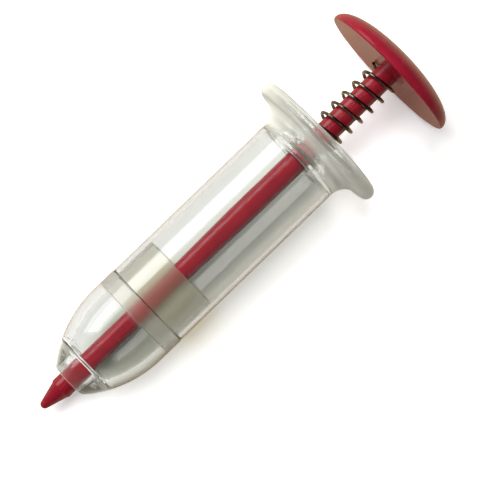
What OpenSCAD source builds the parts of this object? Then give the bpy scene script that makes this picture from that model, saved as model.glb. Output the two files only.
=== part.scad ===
// Plunger seed sower: a clear barrel that holds the seeds, with a finger flange
// behind and a pull-off nose in front. A sprung plunger runs down its middle,
// and the plunger's pointed tip closes the outlet in the nose.
//
// Every sub-part is turned about the tool's own axis, drawn upright, and its
// heights count from the point of the tip. lay_down() then sets the tool down
// on its side, as it comes to rest on a table: nose towards -X, thumb button
// towards +X, origin on the table under the middle of the whole.

/* [Barrel] */
// Outer radius of the barrel
barrel_r = 13.4; // [13:0.1:15]
// Wall of the barrel
barrel_wall = 1.35; // [1:0.05:1.8]
// Depth of the seed chamber, from the barrel's mouth to its ceiling
chamber_len = 57.55; // [45:0.5:90]
// Rounding where the chamber's wall meets its ceiling
ceiling_round = 0.5; // [0.3:0.1:2]
// Web left between the stop ring's recess and the spring pocket
web = 1.1; // [0.9:0.1:2.5]
// Depth of the spring pocket behind the web
pocket_depth = 7.4; // [6.6:0.1:9]
// Softened outer edges of the clear parts
edge = 0.3; // [0.1:0.05:0.4]
// Lead-in at the barrel's mouth, the pocket and the outlet
lead_in = 0.4; // [0.2:0.05:0.6]

/* [Finger flange] */
// Outer radius of the finger flange
flange_r = 21.65; // [21.2:0.05:25]
// Radius of the flange's full-round rim
rim_round = 2.1; // [1.8:0.1:2.5]
// Radius of the flare from the barrel out to the flange
flare_r = 5.5; // [3:0.1:5.8]
// Height of the raised lip round the dished rear face
lip_rise = 0.9; // [0.5:0.1:1.2]
// Width of the raised lip
lip_width = 2.75; // [2.55:0.05:3.2]
// Rounding of the lip's inner edge
lip_round = 0.4; // [0.2:0.05:0.45]

/* [Nose cap] */
// Outer radius of the nose cap, a little proud of the barrel
nose_r = 13.55; // [13.4:0.05:15.1]
// Length of the nose cap that shows, from its end face to its shoulder
nose_len = 30.3; // [28:0.1:34]
// Straight stretch behind the nose's curve
nose_straight = 7.8; // [6:0.1:9.5]
// Radius of the nose's long curve
ogive_r = 35; // [33:0.5:45]
// Rounding at the nose's end face
nose_round = 1; // [0.5:0.1:1.3]
// Solid end of the nose, from its end face to the cavity floor
nose_floor = 7.6; // [5:0.1:8.5]
// Wall of the nose
nose_wall = 2.9; // [2.7:0.05:3.2]
// Rounding between the cavity's floor and its wall
cavity_round = 1; // [0.5:0.1:2]
// Length of the spigot that plugs into the barrel
spigot_len = 13; // [8:0.5:18]
// Wall of the spigot
spigot_wall = 1.2; // [0.8:0.05:1.3]
// How far ahead of the shoulder the spigot's bore ends
spigot_root = 5; // [2:0.1:5.8]
// Radial clearance of the spigot in the barrel
spigot_clear = 0.05; // [0.02:0.01:0.1]
// Seam between the nose's shoulder and the barrel's mouth
seam = 0.05; // [0.02:0.01:0.2]

/* [Plunger] */
// How far the tip stands out of the nose
tip_out = 10.5; // [9:0.1:14]
// Length of the pointed stretch of the tip, with its bevel
point_len = 7.3; // [5:0.1:8]
// Rounding of the point
point_round = 1.3; // [0.8:0.1:1.6]
// Slope of the point's side, from the axis
point_slope = 15.5; // [12:0.5:17]
// Radius of the plug that closes the outlet
plug_r = 3.25; // [3.2:0.05:3.6]
// Radial clearance of the plug in the outlet
plug_clear = 0.07; // [0.02:0.01:0.1]
// Radius of the thin neck behind the plug
neck_r = 2.85; // [2.4:0.05:3]
// Length of the neck beyond what enters the outlet when pressed
neck_spare = 11.9; // [5:0.1:20]
// Length over which the neck widens to the full rod
rod_taper = 25; // [5:1:40]
// Radius of the full rod
rod_r = 3.3; // [3.25:0.05:3.6]
// Radial clearance of the rod in the barrel's web
guide_clear = 0.06; // [0.02:0.01:0.1]
// How far the button can be pressed
press_stroke = 20; // [10:0.5:20.5]

/* [Stop ring] */
// Thickness of the ring that stops the plunger against the web
ring_t = 0.5; // [0.4:0.05:0.8]
// Width of the ring round the rod
ring_width = 1.65; // [1.2:0.05:1.8]
// Depth of the groove that holds the ring
groove_depth = 0.35; // [0.2:0.05:0.5]
// Opening in the ring, through which it is pushed on
ring_gap = 4.6; // [3.5:0.1:5]
// Clearance of the ring in its groove and under the web
ring_clear = 0.02; // [0.01:0.01:0.05]
// Clearance round the ring in its recess
recess_clear = 0.3; // [0.2:0.05:0.6]

/* [Thumb button] */
// Outer radius of the thumb button
button_r = 21.45; // [18:0.05:25]
// Gap between the flange's lip and the button's flat underside
press_gap = 24.8; // [24:0.1:35]
// Rounding of the button's lower edge, below its widest height
button_round = 0.6; // [0.3:0.1:1.5]
// Rise of the button's top, from its widest height to the crown
dome_rise = 6.3; // [5:0.1:9]
// Fullness of the button's top: 2 is a plain ellipse, more is squarer
dome_fullness = 2.2; // [2:0.05:2.6]
// Radius of the rod's end in the button's socket
stub_r = 2.5; // [2:0.1:2.8]
// Length of the rod's end in the socket
stub_len = 3.5; // [2.5:0.1:4]
// Clearance of the rod's end in the socket
socket_clear = 0.02; // [0.01:0.01:0.05]

/* [Return spring] */
// Radius of the spring's wire
wire_r = 0.45; // [0.35:0.05:0.5]
// Radius from the axis to the middle of the wire
coil_r = 4.75; // [4.4:0.05:5]
// Turns from end to end
coil_turns = 9.16; // [7:0.02:9.5]
// Closed turns on the pocket's floor
closed_turns = 1.5; // [1:0.1:1.6]
// Rise of one closed turn
closed_pitch = 1.35; // [1.32:0.01:1.45]
// Turns over which the rise changes from closed to open
pitch_change = 0.5; // [0.3:0.05:0.8]
// Closing turns under the button
end_turns = 0.25; // [0.2:0.05:0.5]
// Turn of the wire's rear end about the axis
end_turn_at = 80; // [0:5:355]
// Clearance from the coil to the pocket's wall
coil_clear = 0.4; // [0.2:0.05:0.6]
// Gap at each end of the spring
seat_gap = 0.03; // [0.01:0.01:0.1]

/* [Hidden] */
$fn = 96;

clear_plastic = [0.87, 0.89, 0.87, 0.45];
red_plastic = [0.66, 0.07, 0.14];
dark_wire = [0.2, 0.17, 0.15];

// Heights up the tool, from the point of the tip
nose_face = tip_out;
cavity_floor = nose_face + nose_floor;
shoulder = nose_face + nose_len;
curve_end = shoulder - nose_straight;
spigot_end = shoulder + spigot_len;
mouth = shoulder + seam;
ceiling = mouth + chamber_len;
recess_roof = ceiling + ring_t + ring_clear;
pocket_floor = recess_roof + web;
dish = pocket_floor + pocket_depth;
lip_top = dish + lip_rise;
rim_mid = lip_top - rim_round;
flange_front = rim_mid - rim_round;
flare_start = flange_front - flare_r;
underside = lip_top + press_gap;

// Radii that follow from the fits
bore_r = barrel_r - barrel_wall;
guide_r = rod_r + guide_clear;
outlet_r = plug_r + plug_clear;
spigot_r = bore_r - spigot_clear;
spigot_bore_r = spigot_r - spigot_wall;
cavity_r = nose_r - nose_wall;
groove_r = rod_r - groove_depth;
ring_in = groove_r + ring_clear;
ring_out = ring_in + ring_width;
recess_r = ring_out + recess_clear;
pocket_r = coil_r + wire_r + coil_clear;
lip_in = flange_r - lip_width;

// The stop ring, just under the recess roof
ring_top = recess_roof - ring_clear;
ring_foot = ring_top - ring_t;

// The button's top, from its widest height to the crown, is a full ellipse
button_widest = underside + button_round;
tool_len = button_widest + dome_rise;
dome = [for (i = [0:32]) let (a = 90 * i / 32)
    [button_r * pow(cos(a), 2 / dome_fullness), button_widest + dome_rise * pow(sin(a), 2 / dome_fullness)]];

// At rest the tool touches the table with the flange's round rim and with the
// nose's long curve. These are two circles in the plane of the axis, and the
// table is their common tangent.
ogive_x = nose_r - ogive_r;
rest_a = rim_mid - curve_end;
rest_b = flange_r - rim_round - ogive_x;
rest_tilt = acos((ogive_r - rim_round) / norm([rest_a, rest_b])) - atan2(rest_a, rest_b);
axis_rise = ogive_r - curve_end * sin(rest_tilt) + ogive_x * cos(rest_tilt);
x_low = point_round * (cos(rest_tilt) - 1);
x_high = max([for (p = dome) p.y * cos(rest_tilt) + p.x * sin(rest_tilt)]);

// Points along an arc about (x, y), from angle a0 to a1
function arc(x, y, r, a0, a1, steps) =
    [for (i = [0:steps]) let (a = a0 + (a1 - a0) * i / steps) [x + r * cos(a), y + r * sin(a)]];

// Middle of a small circle that touches a floor and a larger circle inside it
function nested_x(big_x, big_y, big_r, r, y) = big_x + sqrt(pow(big_r - r, 2) - pow(big_y - y, 2));

module lay_down() {
    translate([-(x_low + x_high) / 2, 0, axis_rise])
        rotate([0, 90 - rest_tilt, 0])
            children();
}

module turned(outline) {
    lay_down() rotate_extrude() polygon(outline);
}

// The clear barrel with its flange, spring pocket and guide hole, in one moulding
module barrel() {
    outside = concat(
        [[bore_r + lead_in, mouth], [barrel_r - edge, mouth], [barrel_r, mouth + edge]],
        arc(barrel_r + flare_r, flare_start, flare_r, 180, 90, 12),
        arc(flange_r - rim_round, rim_mid, rim_round, -90, 90, 24),
        arc(lip_in + lip_round, lip_top - lip_round, lip_round, 90, 180, 5)
    );
    inside = concat(
        [[lip_in, dish], [pocket_r + lead_in, dish], [pocket_r, dish - lead_in]],
        [[pocket_r, pocket_floor], [guide_r, pocket_floor], [guide_r, recess_roof]],
        [[recess_r, recess_roof], [recess_r, ceiling]],
        arc(bore_r - ceiling_round, ceiling - ceiling_round, ceiling_round, 90, 0, 6),
        [[bore_r, mouth + lead_in]]
    );
    color(clear_plastic) turned(concat(outside, inside));
}

// The clear nose: a long curve outside, a funnel inside, and a spigot behind
module nose_cap() {
    round_y = nose_face + nose_round;
    round_x = nested_x(ogive_x, curve_end, ogive_r, nose_round, round_y);
    round_a = atan2(round_y - curve_end, round_x - ogive_x);
    inner_r = ogive_r - nose_wall;
    funnel_y = cavity_floor + cavity_round;
    funnel_x = nested_x(ogive_x, curve_end, inner_r, cavity_round, funnel_y);
    funnel_a = atan2(funnel_y - curve_end, funnel_x - ogive_x);
    bore_start = shoulder - spigot_root;
    outside = concat(
        [[outlet_r, nose_face]],
        arc(round_x, round_y, nose_round, -90, round_a, 6),
        arc(ogive_x, curve_end, ogive_r, round_a, 0, 20),
        [[nose_r, shoulder - edge], [nose_r - edge, shoulder], [spigot_r, shoulder]],
        [[spigot_r, spigot_end - edge], [spigot_r - edge, spigot_end]]
    );
    inside = concat(
        [[spigot_bore_r, spigot_end], [spigot_bore_r, bore_start + spigot_bore_r - cavity_r]],
        [[cavity_r, bore_start]],
        arc(ogive_x, curve_end, inner_r, 0, funnel_a, 20),
        arc(funnel_x, funnel_y, cavity_round, funnel_a, -90, 6),
        [[outlet_r + lead_in, cavity_floor], [outlet_r, cavity_floor - lead_in]]
    );
    color(clear_plastic) turned(concat(outside, inside));
}

// The red plunger rod with its pointed tip, plug, neck, ring groove and end stub
module plunger_rod() {
    side_x = point_round * cos(point_slope);
    side_y = point_round * (1 - sin(point_slope));
    bevel = (plug_r - side_x - (point_len - side_y) * tan(point_slope)) / (1 - tan(point_slope));
    plug_end = cavity_floor - plug_clear;
    neck_start = plug_end + plug_r - neck_r;
    neck_end = plug_end + press_stroke + neck_spare;
    color(red_plastic) turned(concat(
        arc(0, point_round, point_round, -90, -point_slope, 8),
        [[plug_r - bevel, point_len - bevel], [plug_r, point_len], [plug_r, plug_end]],
        [[neck_r, neck_start], [neck_r, neck_end], [rod_r, neck_end + rod_taper]],
        [[rod_r, ring_foot - ring_clear], [groove_r, ring_foot - ring_clear]],
        [[groove_r, ring_top + ring_clear], [rod_r, ring_top + ring_clear]],
        [[rod_r, underside], [stub_r, underside], [stub_r, underside + stub_len], [0, underside + stub_len]]
    ));
}

// The red thumb button: a flat underside, a rounded edge and a full round top
module thumb_button() {
    socket_r = stub_r + socket_clear;
    socket_roof = underside + stub_len + socket_clear;
    color(red_plastic) turned(concat(
        [[0, socket_roof], [socket_r, socket_roof], [socket_r, underside]],
        arc(button_r - button_round, underside + button_round, button_round, -90, -15, 5),
        dome
    ));
}

// The stop ring, open on one side, in the rod's groove under the web
module retaining_ring() {
    color(dark_wire) lay_down() translate([0, 0, ring_foot]) difference() {
        cylinder(r = ring_out, h = ring_t);
        translate([0, 0, -ring_t]) cylinder(r = ring_in, h = 3 * ring_t);
        translate([0, -ring_gap / 2, -ring_t]) cube([ring_out + ring_t, ring_gap, 3 * ring_t]);
    }
}

// How many turns of open rise have gone by when x turns have passed the change
function ramp(x) =
    x < 0 ? 0
    : x < pitch_change ? x * x / (2 * pitch_change)
    : x - pitch_change / 2;

// Height of the wire's middle after t turns: closed turns, open turns, closing turn
wire_foot = pocket_floor + wire_r + seat_gap;
wire_top = underside - wire_r - seat_gap;
open_turns = ramp(coil_turns - closed_turns) - ramp(end_turns);
open_rise = (wire_top - wire_foot - closed_pitch * coil_turns) / open_turns;
function wire_z(t) =
    wire_foot + closed_pitch * t
    + open_rise * (ramp(t - closed_turns) - ramp(t - coil_turns + end_turns));

// The wire's path: rings_per_turn points a turn, and a straight stretch one wire
// diameter long at each end, flat on the seat that it meets
rings_per_turn = 8;
wire_sides = 6;
steps = ceil(coil_turns * rings_per_turn);
function turn_at(i) = coil_turns * i / steps;
function spin_at(i) = end_turn_at + 360 * (turn_at(i) - coil_turns);
function on_coil(i) = [coil_r * cos(spin_at(i)), coil_r * sin(spin_at(i)), wire_z(turn_at(i))];
function out_dir(i) = [cos(spin_at(i)), sin(spin_at(i)), 0];
function along(i) = [-sin(spin_at(i)), cos(spin_at(i)), 0];
wire_path = concat(
    [on_coil(0) - 2 * wire_r * along(0)],
    [for (i = [0:steps]) on_coil(i)],
    [on_coil(steps) + 2 * wire_r * along(steps)]
);

// One ring of points round the wire at point k of the path
function ring_step(k) = min(max(k - 1, 0), steps);
function slope_at(i) =
    i == 0 || i == steps ? 0
    : (on_coil(i + 1).z - on_coil(i - 1).z) / norm(on_coil(i + 1) - on_coil(i - 1));
function ring(k) =
    let (i = ring_step(k), out = out_dir(i), rise = slope_at(i))
    let (up = [sin(spin_at(i)) * rise, -cos(spin_at(i)) * rise, sqrt(1 - rise * rise)])
    [for (j = [0:wire_sides - 1]) wire_path[k] + wire_r * (cos(j * 360 / wire_sides) * out
        + sin(j * 360 / wire_sides) * up)];

// The least gap between turns, measured between the path's points
far = rings_per_turn / 2 + 1;
wire_gap = min([for (i = [0:len(wire_path) - far - 1], j = [i + far:len(wire_path) - 1])
    norm(wire_path[i] - wire_path[j])]) - 2 * wire_r;
echo(str("least gap between the spring's turns: ", wire_gap, " mm"));
echo(str("spring at full press: ", underside - press_stroke - pocket_floor, " mm, solid: ",
    (coil_turns + 1) * 2 * wire_r, " mm"));
echo(str("tilt at rest: ", rest_tilt, " degrees, axis height at the tip: ", axis_rise,
    " mm, length: ", tool_len, " mm"));

// The wound return spring, one unbroken wire
module return_spring() {
    rings = len(wire_path);
    last = (rings - 1) * wire_sides;
    side_faces = [for (k = [0:rings - 2], j = [0:wire_sides - 1])
        let (a = k * wire_sides + j, b = k * wire_sides + (j + 1) % wire_sides)
        each [[a, a + wire_sides, b], [b, a + wire_sides, b + wire_sides]]];
    end_faces = [for (j = [1:wire_sides - 2]) each [[0, j, j + 1], [last, last + j + 1, last + j]]];
    color(dark_wire) lay_down() polyhedron(
        points = [for (k = [0:rings - 1]) each ring(k)],
        faces = concat(side_faces, end_faces)
    );
}

barrel();
nose_cap();
plunger_rod();
thumb_button();
return_spring();
retaining_ring();
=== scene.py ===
import math
import bmesh
import bpy
from mathutils import Matrix, Vector


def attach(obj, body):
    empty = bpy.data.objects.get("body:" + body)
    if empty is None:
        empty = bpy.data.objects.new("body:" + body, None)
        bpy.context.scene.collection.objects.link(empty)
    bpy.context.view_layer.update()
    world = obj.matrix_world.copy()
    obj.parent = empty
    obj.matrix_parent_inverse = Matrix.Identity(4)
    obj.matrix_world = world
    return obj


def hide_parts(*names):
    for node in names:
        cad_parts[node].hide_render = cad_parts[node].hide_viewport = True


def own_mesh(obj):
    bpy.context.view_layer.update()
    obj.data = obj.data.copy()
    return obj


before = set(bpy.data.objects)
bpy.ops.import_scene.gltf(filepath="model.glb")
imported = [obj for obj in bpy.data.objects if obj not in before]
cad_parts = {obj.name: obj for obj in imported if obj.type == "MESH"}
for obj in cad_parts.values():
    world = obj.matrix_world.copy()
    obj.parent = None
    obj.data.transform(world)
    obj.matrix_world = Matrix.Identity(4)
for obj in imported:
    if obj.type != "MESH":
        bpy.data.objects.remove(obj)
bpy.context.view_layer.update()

# The tool is drawn upright, in millimetres: its own axis is Z, and heights count from the
# point of the tip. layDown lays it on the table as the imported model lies.
lying = {"tilt": 6.164734, "tipX": -69.86486, "tipRise": 10.130255}
tilt = math.radians(lying["tilt"])
layDown = (Matrix.Translation((lying["tipX"] / 1000, 0, lying["tipRise"] / 1000))
           @ Matrix.Rotation(math.pi / 2 - tilt, 4, "Y"))

# Heights that several pieces share, in millimetres from the point
heights = {
    "noseFace": 10.5, "cavityFloor": 18.1, "noseCurveEnd": 33.0, "spigotBore": 35.8,
    "shoulder": 40.8, "mouth": 40.85, "spigotEnd": 53.8, "ceiling": 98.4, "recessRoof": 98.92,
    "pocketFloor": 100.02, "dish": 107.42, "lipTop": 108.32, "underside": 133.12,
}


class Field:  # a value that changes over the surface; an expression adds its Math nodes
    def __init__(self, finish, socket):
        self.finish = finish
        self.socket = socket

    def __add__(self, other):
        return self.finish.math("ADD", self, other)

    def __sub__(self, other):
        return self.finish.math("SUBTRACT", self, other)

    def __rsub__(self, other):
        return self.finish.math("SUBTRACT", other, self)

    def __mul__(self, other):
        return self.finish.math("MULTIPLY", self, other)

    def __pow__(self, other):
        return self.finish.math("POWER", self, other)

    def __rpow__(self, other):
        return self.finish.math("POWER", other, self)

    __radd__ = __add__
    __rmul__ = __mul__

    def band(self, low, high, soft):  # 1 between low and high, fading over soft outside them
        rise = self.finish.step(self, low - soft, low)
        fall = self.finish.step(self, high, high + soft)
        return rise * (1 - fall)


class Finish:  # the nodes of one material, or of the sky
    def __init__(self, owner):
        self.owner = owner
        owner.use_nodes = True
        self.tree = owner.node_tree
        self.tree.nodes.clear()

    def add(self, kind, settings=None, sockets=None, out=0):
        node = self.tree.nodes.new("ShaderNode" + kind)
        for key, value in (settings or {}).items():
            setattr(node, key, value)
        for key, value in (sockets or {}).items():
            if isinstance(value, Field):
                self.tree.links.new(value.socket, node.inputs[key])
            else:
                node.inputs[key].default_value = value
        return Field(self, node.outputs[out]) if node.outputs else None

    def math(self, operation, *values):
        return self.add("Math", {"operation": operation}, dict(enumerate(values)))

    def step(self, value, low, high):  # 0 below low, 1 above high, smooth between
        return self.add("MapRange", {"interpolation_type": "SMOOTHSTEP"},
                        {"Value": value, "From Min": low, "From Max": high})

    def place(self):  # the tool's own upright coordinates, in metres
        back = layDown.inverted()
        lyingPlace = self.add("TexCoord", out="Object")
        return self.add("Mapping", {}, {"Vector": lyingPlace, "Location": back.to_translation(),
                                        "Rotation": back.to_euler()})

    def parts(self, vector):
        split = self.add("SeparateXYZ", {}, {0: vector}).socket.node
        return [Field(self, socket) for socket in split.outputs]

    def noise(self, vector, scale=1.0, detail=2.0, rough=0.5, stretch=None):
        if stretch:
            vector = self.add("Mapping", {}, {"Vector": vector, "Scale": stretch})
        return self.add("TexNoise", {}, {"Vector": vector, "Scale": scale, "Detail": detail,
                                         "Roughness": rough})

    def blend(self, factor, first, second):  # colours
        first, second = [c + (1,) if isinstance(c, tuple) else c for c in (first, second)]
        return self.add("Mix", {"data_type": "RGBA"}, {0: factor, 6: first, 7: second}, out=2)

    def either(self, factor, first, second):  # shaders
        return self.add("MixShader", {}, {0: factor, 1: first, 2: second})

    def plain(self, kind, colour):  # a shader of one colour
        return self.add(kind, {}, {"Color": colour + (1,)})

    def bump(self, height, distance, strength):
        return self.add("Bump", {}, {"Height": height, "Distance": distance, "Strength": strength})

    def ray(self, fact):  # what is known of the ray that looks
        return self.add("LightPath", out=fact)

    def output(self, shader, kind="OutputMaterial"):
        self.add(kind, {}, {0: shader})
        return self.owner


def arc(x, y, r, start, end, steps):
    points = []
    for i in range(steps + 1):
        angle = math.radians(start + (end - start) * i / steps)
        points.append((x + r * math.cos(angle), y + r * math.sin(angle)))
    return points


def nestedX(bigX, bigY, bigR, r, y):  # middle of a small circle that touches a big one inside
    return bigX + math.sqrt((bigR - r) ** 2 - (bigY - y) ** 2)


def finishMesh(name, shape):
    bmesh.ops.recalc_face_normals(shape, faces=shape.faces)
    mesh = bpy.data.meshes.new(name)
    shape.to_mesh(mesh)
    shape.free()
    return mesh


def turned(name, outline, segments):  # outline in mm; a point on the axis closes the shape
    shape = bmesh.new()
    rings = []
    for r, z in outline:
        if r < 1e-6:
            rings.append([shape.verts.new((0, 0, z / 1000))])
            continue
        ring = []
        for i in range(segments):
            angle = 2 * math.pi * i / segments
            ring.append(shape.verts.new((r * math.cos(angle) / 1000, r * math.sin(angle) / 1000, z / 1000)))
        rings.append(ring)
    for a, b in zip(rings, rings[1:] + rings[:1]):
        if len(a) == 1 and len(b) == 1:
            continue
        for i in range(segments):
            j = (i + 1) % segments
            unique = []
            for corner in (a[i % len(a)], a[j % len(a)], b[j % len(b)], b[i % len(b)]):
                if corner not in unique:
                    unique.append(corner)
            shape.faces.new(unique)
    return finishMesh(name, shape)


def swept(name, shape, rings):  # rings of equal length, closed by flat ends
    for a, b in zip(rings, rings[1:]):
        for j in range(len(a)):
            k = (j + 1) % len(a)
            shape.faces.new((a[j], a[k], b[k], b[j]))
    shape.faces.new(rings[0][::-1])
    shape.faces.new(rings[-1])
    return finishMesh(name, shape)


def makePiece(name, mesh, material, body, replaces, sharp=32):
    mesh.transform(layDown)
    obj = bpy.data.objects.new(name, mesh)
    bpy.context.scene.collection.objects.link(obj)
    mesh.polygons.foreach_set("use_smooth", [True] * len(mesh.polygons))
    mesh.set_sharp_from_angle(angle=math.radians(sharp))
    mesh.materials.append(material)
    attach(obj, body)
    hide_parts(replaces)
    print("made", name, len(mesh.vertices), "points")
    return obj


cameraSet = {
    "lens": 155.7, "sensor": 36, "distance": 600, "lookTilt": 7.16, "roll": 44,
    "aim": 71.76, "right": -6.1, "up": 6.3,
}


def toolPoint(s):  # the point of the tool's axis at height s, in metres
    return layDown @ Vector((0, 0, s / 1000))


def makeCamera(c):
    phi, roll = math.radians(c["lookTilt"]), math.radians(c["roll"])
    look = Vector((math.sin(phi), 0, -math.cos(phi)))
    along = Vector((math.cos(phi), 0, math.sin(phi)))
    across = Vector((0, 1, 0))
    right = math.cos(roll) * along - math.sin(roll) * across
    up = math.sin(roll) * along + math.cos(roll) * across
    spot = toolPoint(c["aim"]) - (c["right"] * right + c["up"] * up + c["distance"] * look) / 1000
    camera = bpy.data.objects.new("camera", bpy.data.cameras.new("camera"))
    camera.data.lens = c["lens"]
    camera.data.sensor_width = c["sensor"]
    turn = Matrix((right, up, -look)).transposed().to_4x4()
    camera.matrix_world = Matrix.Translation(spot) @ turn
    bpy.context.scene.collection.objects.link(camera)
    bpy.context.scene.camera = camera
    print("camera at", [round(v, 4) for v in spot])


makeCamera(cameraSet)


# Clear plastic. Lengths are in mm, a pair is where something starts and where it is full, and
# the lamp colours tint the light that falls through. The barrel has no frosted bore and no
# spigot, so these start at 200, beyond the tool.
clearLook = {
    # the second colour is painted shade: the plastic's colour underneath and away from the window
    "top": (0.95, 0.957, 0.942), "under": (0.985, 0.98, 0.915), "edge": (0.64, 0.635, 0.55),
    "edgePower": 4, "ior": 1.5, "boreFrom": 200, "spigotFrom": 200, "seams": (),
    "gloss": 0.02, "haze": 0.04, "frost": 0.34, "flangeHaze": 0.07, "scratchHaze": 0.03,
    "cloud": {"scale": 90, "detail": 3}, "grain": {"scale": 2600, "detail": 2},
    "smear": {"stretch": (420, 420, 30), "detail": 3, "rough": 0.6},
    "scratches": {"stretch": (900, 900, 60), "detail": 2, "rough": 0.7}, "scratchFrom": (0.58, 0.72),
    "boreWall": (11.3, 11.6), "boreStart": (-1.2, 0.8), "flange": (97.5, 100.5), "endFace": (-1.2, -0.4),
    "floorBand": (-0.1, 0.06, 0.05), "floorRing": (3.8, 4.6), "flangeRing": (6, 8),
    "turning": 0.42, "turningDepth": 0.05, "grainDepth": 0.05, "scratchDepth": 0.003,
    "bumpDistance": 0.0001, "bumpStrength": 0.3,
    "line": (0.34, 0.33, 0.27), "seamLine": 0.12, "seamSoft": 0.1,
    "diagonal": 0.7071, "lower": (0.0, 0.009), "beside": (-0.006, 0.0),
    # the next three set how strong and how patchy the painted shade underneath is, and how much less of it
    # the flange gets
    "lowerShade": 0.75, "lowerShadePatches": 0.5, "flangeLessShade": 0.7,
    "bore": (0.88, 0.87, 0.80), "milk": (0.92, 0.915, 0.81), "boreMilk": (0.56, 0.52, 0.38),
    "milkRough": 0.9, "milkFloor": 0.5, "milkNose": 1.5, "milkNosePower": 3, "milkFlange": (0.12, 0.75),
    "milkBore": 0.07, "milkTint": 0.7, "milkPatches": 0.6,
    "lampTop": (1.22, 1.22, 1.21), "lampBeside": (0.97, 0.97, 0.965), "lampUnder": (0.57, 0.565, 0.55),
    "lampSpigot": (0.95, 0.93, 0.86), "lampSoft": 0.1,
}

noseLook = {
    **clearLook,
    # the nose's painted shade underneath is darker than the barrel's
    "under": (0.71, 0.715, 0.615), "seams": ((40.5, 40.9), (53.55, 53.85)),
    "boreFrom": 35.7, "spigotFrom": heights["shoulder"] - 0.15,
}


def makeClear(name, look):
    f = Finish(bpy.data.materials.new(name))
    place = f.place()
    x, y, z = f.parts(place)
    s = z * 1000  # height along the tool, in mm
    r = (x * x + y * y) ** 0.5 * 1000
    cloud = f.noise(place, **look["cloud"])
    scratch = f.step(f.noise(place, **look["scratches"]), *look["scratchFrom"])

    # where things are on the piece
    cavityFloor = heights["cavityFloor"]
    inside = 1 - f.step(r, *look["boreWall"])
    bore = f.step(s, *[look["boreFrom"] + d for d in look["boreStart"]]) * inside
    flange = f.step(s, *look["flange"])
    noseEnd = 1 - f.step(s, *[cavityFloor + d for d in look["endFace"]])
    low, high, soft = look["floorBand"]
    noseFloor = s.band(cavityFloor + low, cavityFloor + high, soft) * f.step(r, *look["floorRing"])
    lower = f.step((x - y) * look["diagonal"], *look["lower"])  # underneath, and away from the window
    facing = f.add("LayerWeight", {}, {"Blend": 0.5}, out="Facing")

    rough = look["gloss"] + f.noise(place, **look["smear"]) * look["haze"] + scratch * look["scratchHaze"]
    rough = rough + bore * look["frost"] + flange * look["flangeHaze"]
    relief = f.math("SINE", s * (2 * math.pi / look["turning"])) * inside * look["turningDepth"]
    relief = relief + f.noise(place, **look["grain"]) * bore * look["grainDepth"]
    relief = relief + scratch * (1 - flange) * look["scratchDepth"]
    # painted shade: the plastic's colour goes darker underneath and away from the window, in cloudy
    # patches, and less so on the flange
    patches = look["lowerShade"] + cloud * look["lowerShadePatches"]
    paintedShade = lower * patches * (1 - flange * look["flangeLessShade"])
    colour = f.blend(paintedShade, look["top"], look["under"])
    colour = f.blend(bore, colour, look["bore"])
    colour = f.blend(facing ** look["edgePower"], colour, look["edge"])
    for low, high in look["seams"]:
        colour = f.blend(s.band(low, high, look["seamSoft"]) * look["seamLine"], colour, look["line"])
    plastic = f.add("BsdfPrincipled", {}, {
        "Base Color": colour, "Roughness": rough, "IOR": look["ior"], "Transmission Weight": 1.0,
        "Normal": f.bump(relief, look["bumpDistance"], look["bumpStrength"]),
    })

    milk = f.add("BsdfPrincipled", {}, {
        "Base Color": f.blend(bore, look["milk"], look["boreMilk"]),
        "Roughness": look["milkRough"], "Specular IOR Level": 0.0,  # milky, without gloss
    })
    steady, glancing = look["milkFlange"]
    cloudy = noseFloor * look["milkFloor"] + noseEnd * facing ** look["milkNosePower"] * look["milkNose"]
    cloudy = cloudy + flange * f.step(r, *look["flangeRing"]) * (steady + facing * glancing)
    cloudy = cloudy + bore * look["milkBore"]
    plastic = f.either(cloudy * (look["milkTint"] + cloud * look["milkPatches"]), plastic, milk)

    # light on its way to the lamps passes tinted, as clear plastic would gather or lose it
    top, beside, below, spigot = [f.plain("BsdfTransparent", look[key])
                                  for key in ("lampTop", "lampBeside", "lampUnder", "lampSpigot")]
    passed = f.either(f.step(x, *look["beside"]), top, beside)
    passed = f.either(lower, passed, below)
    onSpigot = f.step(s, look["spigotFrom"], look["spigotFrom"] + look["lampSoft"])
    passed = f.either(onSpigot, passed, spigot)
    return f.output(f.either(f.ray("Is Shadow Ray"), plastic, passed))


redLook = {  # rod
    "colour": (0.245, 0.010, 0.020), "deep": (0.20, 0.007, 0.016), "warm": (0.30, 0.022, 0.017),
    "gloss": 0.15, "wear": 0.13, "rubbed": 0.3, "glow": 0.06, "shine": 0.4, "fineHaze": 0.06,
    "cloud": {"scale": 160, "detail": 4, "rough": 0.6}, "fine": {"scale": 1800, "detail": 2},
    "rubs": {"stretch": (800, 800, 90), "detail": 3, "rough": 0.65},
    "deepFrom": (0.35, 0.7), "rubFrom": (0.52, 0.72),
    "fineDepth": 0.06, "rubDepth": 0.05, "cloudDepth": 0.15, "bumpDistance": 0.00008, "bumpStrength": 0.3,
    "glowRadius": (1.0, 0.2, 0.1), "glowScale": 0.0015,
}

buttonLook = {
    **redLook,
    "colour": (0.29, 0.010, 0.027), "deep": (0.24, 0.008, 0.020), "warm": (0.33, 0.022, 0.022),
    "gloss": 0.2, "wear": 0.06, "rubbed": 0.15, "shine": 0.2,
}


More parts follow.
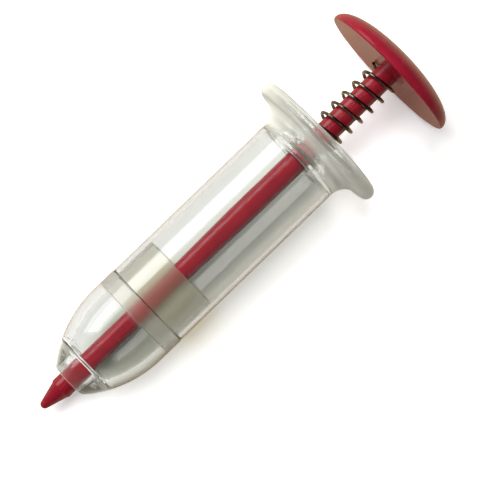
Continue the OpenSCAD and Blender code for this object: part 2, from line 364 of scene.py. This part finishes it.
def makeRed(name, look):
    f = Finish(bpy.data.materials.new(name))
    place = f.place()
    cloud = f.noise(place, **look["cloud"])
    fine = f.noise(place, **look["fine"])
    rubbed = f.step(f.noise(place, **look["rubs"]), *look["rubFrom"])
    colour = f.blend(f.step(cloud, *look["deepFrom"]), look["colour"], look["deep"])
    colour = f.blend(rubbed * look["rubbed"], colour, look["warm"])
    relief = fine * look["fineDepth"] + rubbed * look["rubDepth"] + cloud * look["cloudDepth"]
    return f.output(f.add("BsdfPrincipled", {}, {
        "Base Color": colour, "Roughness": look["gloss"] + rubbed * look["wear"] + fine * look["fineHaze"],
        "Normal": f.bump(relief, look["bumpDistance"], look["bumpStrength"]),
        "Specular IOR Level": look["shine"], "Subsurface Weight": look["glow"],
        "Subsurface Radius": look["glowRadius"], "Subsurface Scale": look["glowScale"],
    }))


wireLook = {
    "colour": (0.26, 0.22, 0.155), "dark": (0.07, 0.058, 0.042), "gloss": 0.09, "dull": 0.18,
    "drawnHaze": 0.06, "patches": {"scale": 420, "detail": 4, "rough": 0.6},
    "drawn": {"scale": 5200, "detail": 2}, "darkFrom": (0.4, 0.64), "dullFrom": (0.45, 0.7),
    "bumpDistance": 0.00001, "bumpStrength": 0.6,
}


def makeWire(name, look):
    f = Finish(bpy.data.materials.new(name))
    place = f.place()
    patch = f.noise(place, **look["patches"])
    drawn = f.noise(place, **look["drawn"])
    rough = look["gloss"] + f.step(patch, *look["dullFrom"]) * look["dull"] + drawn * look["drawnHaze"]
    return f.output(f.add("BsdfPrincipled", {}, {
        "Base Color": f.blend(f.step(patch, *look["darkFrom"]), look["colour"], look["dark"]),
        "Roughness": rough, "Metallic": 1.0,
        "Normal": f.bump(drawn + patch, look["bumpDistance"], look["bumpStrength"]),
    }))


steelLook = {
    "colour": (0.28, 0.27, 0.25), "dark": (0.11, 0.105, 0.1), "gloss": 0.3, "brushedHaze": 0.2,
    "patches": {"scale": 700, "detail": 4, "rough": 0.6}, "darkFrom": (0.4, 0.7),
    "brushed": {"stretch": (300, 300, 9000), "detail": 2},
    "bumpDistance": 0.00001, "bumpStrength": 0.6,
}


def makeSteel(name, look):
    f = Finish(bpy.data.materials.new(name))
    place = f.place()
    patch = f.step(f.noise(place, **look["patches"]), *look["darkFrom"])
    brushed = f.noise(place, **look["brushed"])
    return f.output(f.add("BsdfPrincipled", {}, {
        "Base Color": f.blend(patch, look["colour"], look["dark"]),
        "Roughness": look["gloss"] + brushed * look["brushedHaze"], "Metallic": 1.0,
        "Normal": f.bump(brushed, look["bumpDistance"], look["bumpStrength"]),
    }))


barrelClear = makeClear("barrelClear", clearLook)
noseClear = makeClear("noseClear", noseLook)
rodRed = makeRed("rodRed", redLook)
buttonRed = makeRed("buttonRed", buttonLook)
springWire = makeWire("springWire", wireLook)
ringSteel = makeSteel("ringSteel", steelLook)
print("finishes ready")


# The rings of points on flat or straight parts only keep the faces short.
barrelSize = {
    "outer": 13.4, "bore": 12.05, "edge": 0.3, "leadIn": 0.4, "ceilingRound": 0.5,
    "flareStart": 98.62, "flare": 5.5, "flangeR": 21.65, "rimRound": 2.1, "rimMid": 106.22,
    "lipIn": 18.9, "lipRound": 0.4, "dishFillet": 0.3, "pocket": 5.6, "guide": 3.36, "recess": 4.92,
    "ringStep": 6, "outerFirst": 2, "outerRings": 10, "boreFirst": 4, "boreRings": 9,
    "dishRings": (16, 12, 8.5), "ceilingRings": (7, 9), "pocketRing": 3, "segments": 256,
}


def makeBarrel(b, h):
    mouth, ceiling, dish = h["mouth"], h["ceiling"], h["dish"]
    rounding, fillet, leadIn = b["ceilingRound"], b["dishFillet"], b["leadIn"]
    outline = [(b["bore"] + leadIn, mouth)]
    outline += arc(b["outer"] - b["edge"], mouth + b["edge"], b["edge"], -90, 0, steps=5)
    outline += [(b["outer"], mouth + b["outerFirst"] + i * b["ringStep"]) for i in range(b["outerRings"])]
    outline += arc(b["outer"] + b["flare"], b["flareStart"], b["flare"], 180, 90, steps=30)
    outline += arc(b["flangeR"] - b["rimRound"], b["rimMid"], b["rimRound"], -90, 90, steps=40)
    lipX, lipZ = b["lipIn"] + b["lipRound"], h["lipTop"] - b["lipRound"]
    outline += arc(lipX, lipZ, b["lipRound"], 90, 180, steps=8)[1:]
    outline += arc(b["lipIn"] - fillet, dish + fillet, fillet, 0, -90, steps=6)
    outline += [(ring, dish) for ring in b["dishRings"]]
    outline += arc(b["pocket"] + leadIn, dish - leadIn, leadIn, 90, 180, steps=6)
    outline += [(b["pocket"], dish - b["pocketRing"]), (b["pocket"], h["pocketFloor"])]
    outline += [(b["guide"], h["pocketFloor"]), (b["guide"], h["recessRoof"])]
    outline += [(b["recess"], h["recessRoof"]), (b["recess"], ceiling)]
    outline += [(ring, ceiling) for ring in b["ceilingRings"]]
    outline += arc(b["bore"] - rounding, ceiling - rounding, rounding, 90, 0, steps=10)
    outline += [(b["bore"], ceiling - b["boreFirst"] - i * b["ringStep"]) for i in range(b["boreRings"])]
    outline += [(b["bore"], mouth + leadIn)]
    return turned("clearBarrel", outline, b["segments"])


makePiece("clearBarrel", makeBarrel(barrelSize, heights), barrelClear,
          "barrel", "barrel")


noseSize = {
    "outer": 13.55, "ogive": 35, "endRound": 1, "wall": 2.9, "cavityRound": 1.0, "outlet": 3.32,
    "edge": 0.3, "leadIn": 0.4, "spigot": 12.0, "spigotBore": 10.8,
    "faceRing": 5, "outerRing": 4, "spigotRing": 5, "boreRing": 6, "segments": 256,
}


def makeNose(n, h):
    edge, leadIn, cavityRound = n["edge"], n["leadIn"], n["cavityRound"]
    noseFace, curveEnd = h["noseFace"], h["noseCurveEnd"]
    shoulder, spigotEnd = h["shoulder"], h["spigotEnd"]
    middleX = n["outer"] - n["ogive"]
    roundY = noseFace + n["endRound"]
    roundX = nestedX(middleX, curveEnd, n["ogive"], n["endRound"], roundY)
    roundTurn = math.degrees(math.atan2(roundY - curveEnd, roundX - middleX))
    innerR = n["ogive"] - n["wall"]
    cavity = n["outer"] - n["wall"]
    funnelY = h["cavityFloor"] + cavityRound
    funnelX = nestedX(middleX, curveEnd, innerR, cavityRound, funnelY)
    funnelTurn = math.degrees(math.atan2(funnelY - curveEnd, funnelX - middleX))
    outline = [(n["outlet"], noseFace), (n["faceRing"], noseFace)]
    outline += arc(roundX, roundY, n["endRound"], -90, roundTurn, steps=12)[:-1]
    outline += arc(middleX, curveEnd, n["ogive"], roundTurn, 0, steps=48)
    outline += [(n["outer"], shoulder - n["outerRing"])]
    outline += arc(n["outer"] - edge, shoulder - edge, edge, 0, 90, steps=5)
    outline += [(n["spigot"], z) for z in (shoulder, shoulder + n["spigotRing"], spigotEnd - edge)]
    outline += arc(n["spigot"] - edge, spigotEnd - edge, edge, 0, 90, steps=5)[1:]
    chamferTop = h["spigotBore"] + n["spigotBore"] - cavity
    outline += [(n["spigotBore"], z) for z in (spigotEnd, shoulder + n["boreRing"], chamferTop)]
    outline += [(cavity, h["spigotBore"])]
    outline += arc(middleX, curveEnd, innerR, 0, funnelTurn, steps=40)
    outline += arc(funnelX, funnelY, cavityRound, funnelTurn, -90, steps=12)[1:]
    outline += arc(n["outlet"] + leadIn, h["cavityFloor"] - leadIn, leadIn, 90, 180, steps=5)
    return turned("noseCap", outline, n["segments"])


makePiece("noseCap", makeNose(noseSize, heights), noseClear, "nose_cap", "nose_cap")


rodSize = {
    "pointRound": 1.3, "pointSlope": 15.5, "pointLen": 7.3, "plug": 3.25, "plugEnd": 18.03, "neck": 2.85,
    "neckEnd": 49.93, "taper": 25, "rod": 3.3, "grooveR": 2.95, "grooveFoot": 98.36, "grooveTop": 98.92,
    "stub": 2.5, "stubLen": 3.5, "segments": 128,
    "bevelSoft": ((-0.06, -0.2), (0.06, 0.08)), "plugSoft": ((-0.08, -0.08), (0, 0.1)), "plugRing": 12,
    "neckRings": 6, "taperRings": 5, "rodRing": 85, "pocketRings": (110, 120),
}


def makeRod(r, h):
    plug, neck, rod, underside = r["plug"], r["neck"], r["rod"], h["underside"]
    slope = math.radians(r["pointSlope"])
    sideX = r["pointRound"] * math.cos(slope)
    sideY = r["pointRound"] * (1 - math.sin(slope))
    bevel = (plug - sideX - (r["pointLen"] - sideY) * math.tan(slope)) / (1 - math.tan(slope))
    neckStart = r["plugEnd"] + plug - neck
    outline = arc(0, r["pointRound"], r["pointRound"], -90, -r["pointSlope"], steps=16)
    outline += [(plug - bevel + out, r["pointLen"] - bevel + up) for out, up in r["bevelSoft"]]
    outline += [(plug + out, r["pointLen"] + up) for out, up in r["plugSoft"]]
    outline += [(plug, r["plugRing"]), (plug, r["plugEnd"]), (neck, neckStart)]
    rings = r["neckRings"]
    outline += [(neck, neckStart + (r["neckEnd"] - neckStart) * i / rings) for i in range(1, rings + 1)]
    rings = r["taperRings"]
    outline += [(neck + (rod - neck) * i / rings, r["neckEnd"] + r["taper"] * i / rings)
                for i in range(1, rings + 1)]
    outline += [(rod, r["rodRing"]), (rod, r["grooveFoot"])]
    outline += [(r["grooveR"], r["grooveFoot"]), (r["grooveR"], r["grooveTop"]), (rod, r["grooveTop"])]
    outline += [(rod, ring) for ring in r["pocketRings"]] + [(rod, underside), (r["stub"], underside)]
    outline += [(r["stub"], underside + r["stubLen"]), (0, underside + r["stubLen"])]
    return turned("plungerRod", outline, r["segments"])


makePiece("plungerRod", makeRod(rodSize, heights), rodRed, "plunger", "plunger_rod")


buttonSize = {
    "outer": 21.45, "round": 0.6, "rise": 6.3, "fullness": 2.2, "socket": 2.52, "socketDeep": 3.52,
    "faceRings": (6, 12, 17), "steps": 64, "segments": 256,
}


def makeButton(b, h):
    underside = h["underside"]
    widest = underside + b["round"]
    power = 2 / b["fullness"]  # 2 is an ellipse, more is fuller
    outline = [(0, underside + b["socketDeep"]), (b["socket"], underside + b["socketDeep"])]
    outline += [(b["socket"], underside)] + [(ring, underside) for ring in b["faceRings"]]
    outline += arc(b["outer"] - b["round"], widest, b["round"], -90, 0, steps=12)
    for i in range(1, b["steps"]):
        angle = math.pi / 2 * i / b["steps"]
        out, up = b["outer"] * math.cos(angle) ** power, b["rise"] * math.sin(angle) ** power
        outline.append((out, widest + up))
    outline.append((0, widest + b["rise"]))
    return turned("thumbButton", outline, b["segments"])


makePiece("thumbButton", makeButton(buttonSize, heights), buttonRed,
          "plunger", "thumb_button")


springSize = {
    "wire": 0.47, "coil": 4.75, "turns": 9.16, "closed": 1.3, "closedPitch": 0.97, "change": 0.5,
    "endTurns": 0.25, "endAt": 80, "seatGap": 0.03, "perTurn": 72, "sides": 20, "fullPress": 13.1,
}


def openedTurns(turn, change):  # turns since the coil began to open, eased in over change
    if turn < 0:
        return 0
    return turn * turn / (2 * change) if turn < change else turn - change / 2


def makeSpring(w, h):
    foot = h["pocketFloor"] + w["wire"] + w["seatGap"]
    top = h["underside"] - w["wire"] - w["seatGap"]
    openTurns = openedTurns(w["turns"] - w["closed"], w["change"]) - openedTurns(w["endTurns"], w["change"])
    openRise = (top - foot - w["closedPitch"] * w["turns"]) / openTurns
    steps = int(w["turns"] * w["perTurn"])
    path = []
    for i in range(steps + 1):
        t = w["turns"] * i / steps
        spin = math.radians(w["endAt"] + 360 * (t - w["turns"]))
        opened = (openedTurns(t - w["closed"], w["change"])
                  - openedTurns(t - w["turns"] + w["endTurns"], w["change"]))
        z = foot + w["closedPitch"] * t + openRise * opened
        path.append(Vector((w["coil"] * math.cos(spin), w["coil"] * math.sin(spin), z)))
    shape = bmesh.new()
    rings = []
    for i, point in enumerate(path):
        ahead = (path[min(i + 1, steps)] - path[max(i - 1, 0)]).normalized()
        out = Vector((point.x, point.y, 0)).normalized()
        up = ahead.cross(out).normalized()
        out = up.cross(ahead).normalized()
        rings.append([shape.verts.new((point + w["wire"] * (math.cos(a) * out + math.sin(a) * up)) / 1000)
                      for a in [2 * math.pi * j / w["sides"] for j in range(w["sides"])]])
    return swept("returnSpring", shape, rings)


returnSpring = makePiece("returnSpring", makeSpring(springSize, heights), springWire,
                         "barrel", "return_spring", sharp=50)
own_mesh(returnSpring)


ringSize = {"inner": 2.97, "outer": 4.62, "foot": 98.4, "thick": 0.5, "gap": 4.6, "edge": 0.1, "steps": 90}


def makeRing(r):
    half = math.degrees(math.asin(r["gap"] / 2 / ((r["inner"] + r["outer"]) / 2)))
    e, inner, outer, foot, top = r["edge"], r["inner"], r["outer"], r["foot"], r["foot"] + r["thick"]
    section = arc(outer - e, foot + e, e, -90, 0, steps=3) + arc(outer - e, top - e, e, 0, 90, steps=3)
    section += arc(inner + e, top - e, e, 90, 180, steps=3) + arc(inner + e, foot + e, e, 180, 270, steps=3)
    shape = bmesh.new()
    rings = []
    for i in range(r["steps"] + 1):
        a = math.radians(half + (360 - 2 * half) * i / r["steps"])
        rings.append([shape.verts.new((x * math.cos(a) / 1000, x * math.sin(a) / 1000, z / 1000))
                      for x, z in section])
    return swept("stopRing", shape, rings)


makePiece("stopRing", makeRing(ringSize), ringSteel, "plunger", "retaining_ring")


# The floor's colour for lamps, for the camera, through the plastic and mirrored; it fades
# to plain white between near and far. Lengths are in metres.
floorLook = {
    "size": 4.0, "drop": 0.00005, "colour": (0.80, 0.80, 0.79), "seen": (1.38, 1.37, 1.355),
    "through": (0.78, 0.785, 0.77), "mirrored": (0.62, 0.47, 0.32),
    "near": 0.12, "far": 0.35, "farThrough": 0.9, "farSeen": 1.0,
}


def makeFloor(look):
    f = Finish(bpy.data.materials.new("floorWhite"))
    x, y = f.parts(f.place())[:2]
    away = f.step((x * x + y * y) ** 0.5, look["near"], look["far"])
    matt, mirrored, through, seen = [f.plain("BsdfDiffuse", look[key])
                                     for key in ("colour", "mirrored", "through", "seen")]
    glow, white = [f.add("Emission", {}, {"Color": (1, 1, 1, 1), "Strength": look[key]})
                   for key in ("farThrough", "farSeen")]
    through = f.either(away, through, glow)
    seen = f.either(away, seen, white)
    shader = f.either(f.ray("Is Glossy Ray"), matt, mirrored)
    shader = f.either(f.ray("Is Transmission Ray"), shader, through)
    material = f.output(f.either(f.ray("Is Camera Ray"), shader, seen))
    shape = bmesh.new()
    half = look["size"] / 2
    corners = ((-half, -half, 0), (half, -half, 0), (half, half, 0), (-half, half, 0))
    shape.faces.new([shape.verts.new(corner) for corner in corners])
    mesh = bpy.data.meshes.new("floor")
    shape.to_mesh(mesh)
    shape.free()
    mesh.materials.append(material)
    floor = bpy.data.objects.new("floor", mesh)
    floor.location.z = -look["drop"]
    bpy.context.scene.collection.objects.link(floor)


makeFloor(floorLook)


# Lamps lean from straight up and turn from +X, in degrees; reach and sizes are in metres.
lightLook = {
    "window": {"wide": 1.0, "high": 0.6, "reach": 1.0, "lean": 60, "turn": 97,
               "power": 6.8, "shines": True},
    "strip": {"wide": 1.0, "high": 0.1, "reach": 0.97, "lean": 42, "turn": 97,
              "power": 0.34, "shines": True},
    "fill": {"wide": 0.5, "high": 0.5, "reach": 1.0, "lean": 18, "turn": 97,
             "power": 9.2, "shines": False},
}


def makeLamp(name, look):
    lamp = bpy.data.lights.new(name, "AREA")
    lamp.shape = "RECTANGLE"
    lamp.size = look["wide"]
    lamp.size_y = look["high"]
    lamp.energy = look["power"]
    lean, turn = math.radians(look["lean"]), math.radians(look["turn"])
    towards = Vector((math.sin(lean) * math.cos(turn), math.sin(lean) * math.sin(turn), math.cos(lean)))
    obj = bpy.data.objects.new(name, lamp)
    obj.location = towards * look["reach"]
    obj.rotation_euler = towards.to_track_quat("Z", "Y").to_euler()
    obj.visible_glossy = look["shines"]
    obj.visible_transmission = look["shines"]
    bpy.context.scene.collection.objects.link(obj)


for name in lightLook:
    makeLamp(name, lightLook[name])


skyLook = {  # pale all round and dim overhead; what is seen through the plastic is brighter
    "ceiling": 0.09, "walls": 0.32, "wallsEnd": (0.05, 0.4), "dimmed": 0.5,
    "throughCeiling": 0.25, "throughWalls": 1.0,
}


def makeSky(look):
    f = Finish(bpy.data.worlds.new("studio"))
    up = f.parts(f.add("TexCoord", out="Generated"))[2]
    rise = f.step(up, *look["wallsEnd"])
    soft = look["walls"] + (look["ceiling"] - look["walls"]) * rise
    soft = soft * (1 - f.ray("Is Glossy Ray") * look["dimmed"])
    through = look["throughWalls"] + (look["throughCeiling"] - look["throughWalls"]) * rise
    soft = soft + (through - soft) * f.ray("Is Transmission Ray")
    soft = soft + (1 - soft) * f.ray("Is Camera Ray")  # the camera sees it pale and even
    return f.output(f.add("Background", {}, {"Strength": soft}), "OutputWorld")


scene = bpy.context.scene
scene.world = makeSky(skyLook)
scene.view_settings.view_transform = "Standard"
scene.cycles.caustics_reflective = False
scene.cycles.caustics_refractive = False
scene.cycles.max_bounces = 24
scene.cycles.transmission_bounces = 20
scene.cycles.transparent_max_bounces = 24
print("light and floor ready")
